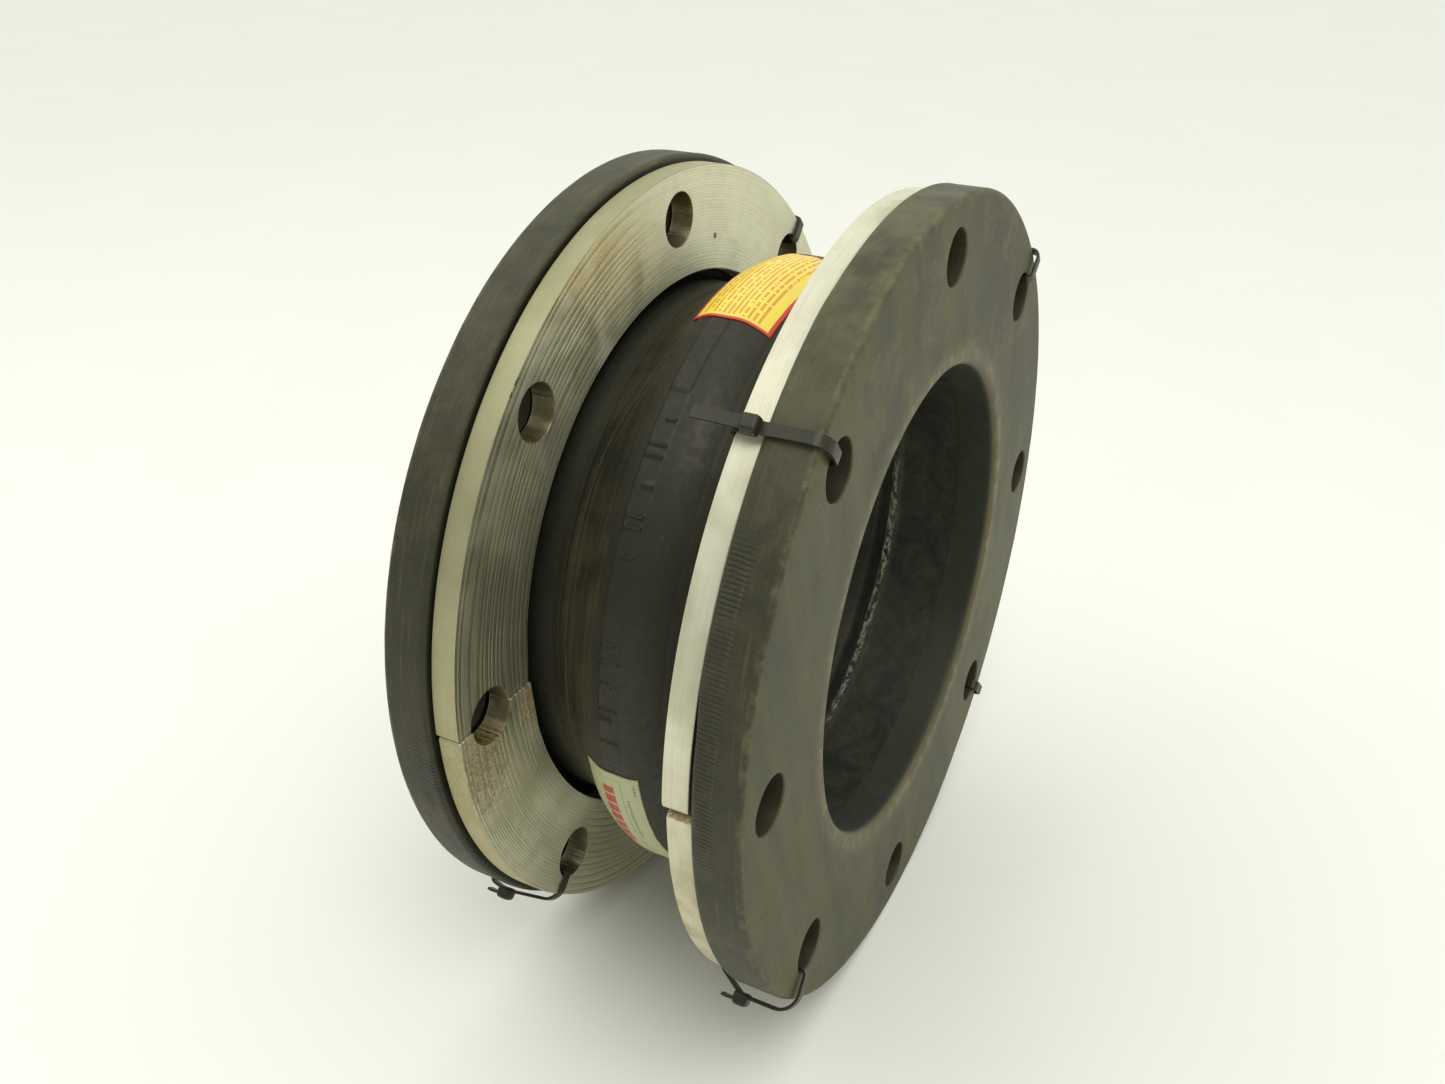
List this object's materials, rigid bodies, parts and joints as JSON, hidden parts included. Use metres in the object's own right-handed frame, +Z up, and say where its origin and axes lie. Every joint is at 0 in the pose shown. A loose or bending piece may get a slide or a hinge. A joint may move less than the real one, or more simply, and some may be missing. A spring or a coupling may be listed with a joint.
{
  "type": "rubber expansion joint",
  "caption": "Single-arch rubber pipe expansion joint with full-face drilled rubber flanges backed by split steel retaining rings.",
  "frame": {"origin": "the middle of the bore, on its axis, half way between the two sealing faces", "axes": "+X along the bore axis towards the front flange; +Z up with the joint standing on the rims of both flanges; +Y across"},
  "size_m": [0.1492, 0.343, 0.343],
  "materials": {
    "rubber": "dusty matte black moulded rubber",
    "ply_fabric": "rubberised woven plies",
    "ring_steel": "turned faces, matt rim, light rust at the splits",
    "body_ring_steel": "plain drawn rod",
    "nylon": "semi-gloss black nylon",
    "notice_vinyl": "yellow printed vinyl with a red border",
    "data_vinyl": "pale printed vinyl, yellowed"
  },
  "bodies": {
    "rear_end": {"rear_cable_tie_1": "nylon", "rear_cable_tie_3": "nylon", "rear_cable_tie_5": "nylon", "rear_flange_back": "rubber", "rear_flange_face": "rubber", "rear_flange_plies": "ply_fabric", "rear_retaining_ring_lower": "ring_steel", "rear_retaining_ring_upper": "ring_steel"},
    "rear_collar": {"rear_collar_cover": "rubber", "rear_collar_plies": "ply_fabric", "rear_collar_tube": "rubber"},
    "rear_neck": {"rear_neck_cover": "rubber", "rear_neck_plies": "ply_fabric", "rear_neck_tube": "rubber", "rear_body_ring": "body_ring_steel"},
    "rear_shoulder": {"rear_shoulder_cover": "rubber", "rear_shoulder_plies": "ply_fabric", "rear_shoulder_tube": "rubber"},
    "crown": {"crown_cover": "rubber", "crown_plies": "ply_fabric", "crown_tube": "rubber", "moulded_band": "rubber", "notice_label": "notice_vinyl", "data_label": "data_vinyl"},
    "front_shoulder": {"front_shoulder_cover": "rubber", "front_shoulder_plies": "ply_fabric", "front_shoulder_tube": "rubber"},
    "front_neck": {"front_neck_cover": "rubber", "front_neck_plies": "ply_fabric", "front_neck_tube": "rubber", "front_body_ring": "body_ring_steel"},
    "front_end": {"front_cable_tie_1": "nylon", "front_cable_tie_3": "nylon", "front_cable_tie_5": "nylon", "front_cable_tie_7": "nylon", "front_flange_back": "rubber", "front_flange_face": "rubber", "front_flange_plies": "ply_fabric", "front_retaining_ring_lower": "ring_steel", "front_retaining_ring_upper": "ring_steel"}
  },
  "joints": [
    {"name": "torsion", "type": "hinge", "parent": "rear_end", "child": "rear_collar", "pos_m": [-0.0505, 0, 0], "axis": [1, 0, 0], "range_deg": [-3, 3], "stiffness_Nm_per_rad": 4600},
    {"name": "lateral_rear", "type": "slide", "parent": "rear_collar", "child": "rear_neck", "axis": [0, 1, 0], "range_m": [-0.00635, 0.00635], "stiffness_N_per_m": 172000},
    {"name": "bend_rear", "type": "hinge", "parent": "rear_neck", "child": "rear_shoulder", "pos_m": [-0.029, 0, 0], "axis": [0, 0, 1], "range_deg": [-5, 5], "stiffness_Nm_per_rad": 2000, "deforming": ["rear_neck_cover", "rear_neck_plies", "rear_neck_tube", "rear_shoulder_cover", "rear_shoulder_plies", "rear_shoulder_tube"]},
    {"name": "axial_rear", "type": "slide", "parent": "rear_shoulder", "child": "crown", "axis": [1, 0, 0], "range_m": [-0.00875, 0.00475], "stiffness_N_per_m": 134000, "deforming": ["crown_cover", "crown_plies", "crown_tube", "moulded_band", "notice_label", "data_label"]},
    {"name": "axial_front", "type": "slide", "parent": "crown", "child": "front_shoulder", "axis": [1, 0, 0], "range_m": [-0.00875, 0.00475], "stiffness_N_per_m": 134000, "deforming": ["front_shoulder_cover", "front_shoulder_plies", "front_shoulder_tube"]},
    {"name": "bend_front", "type": "hinge", "parent": "front_shoulder", "child": "front_neck", "pos_m": [0.029, 0, 0], "axis": [0, 0, 1], "range_deg": [-5, 5], "stiffness_Nm_per_rad": 2000, "deforming": ["front_neck_cover", "front_neck_plies", "front_neck_tube"]},
    {"name": "lateral_front", "type": "slide", "parent": "front_neck", "child": "front_end", "axis": [0, 1, 0], "range_m": [-0.00635, 0.00635], "stiffness_N_per_m": 172000}
  ],
  "couplings": [
    {"joint": "axial_front", "follows": "axial_rear", "ratio": 1},
    {"joint": "bend_front", "follows": "bend_rear", "ratio": 1},
    {"joint": "lateral_front", "follows": "lateral_rear", "ratio": 1}
  ]
}
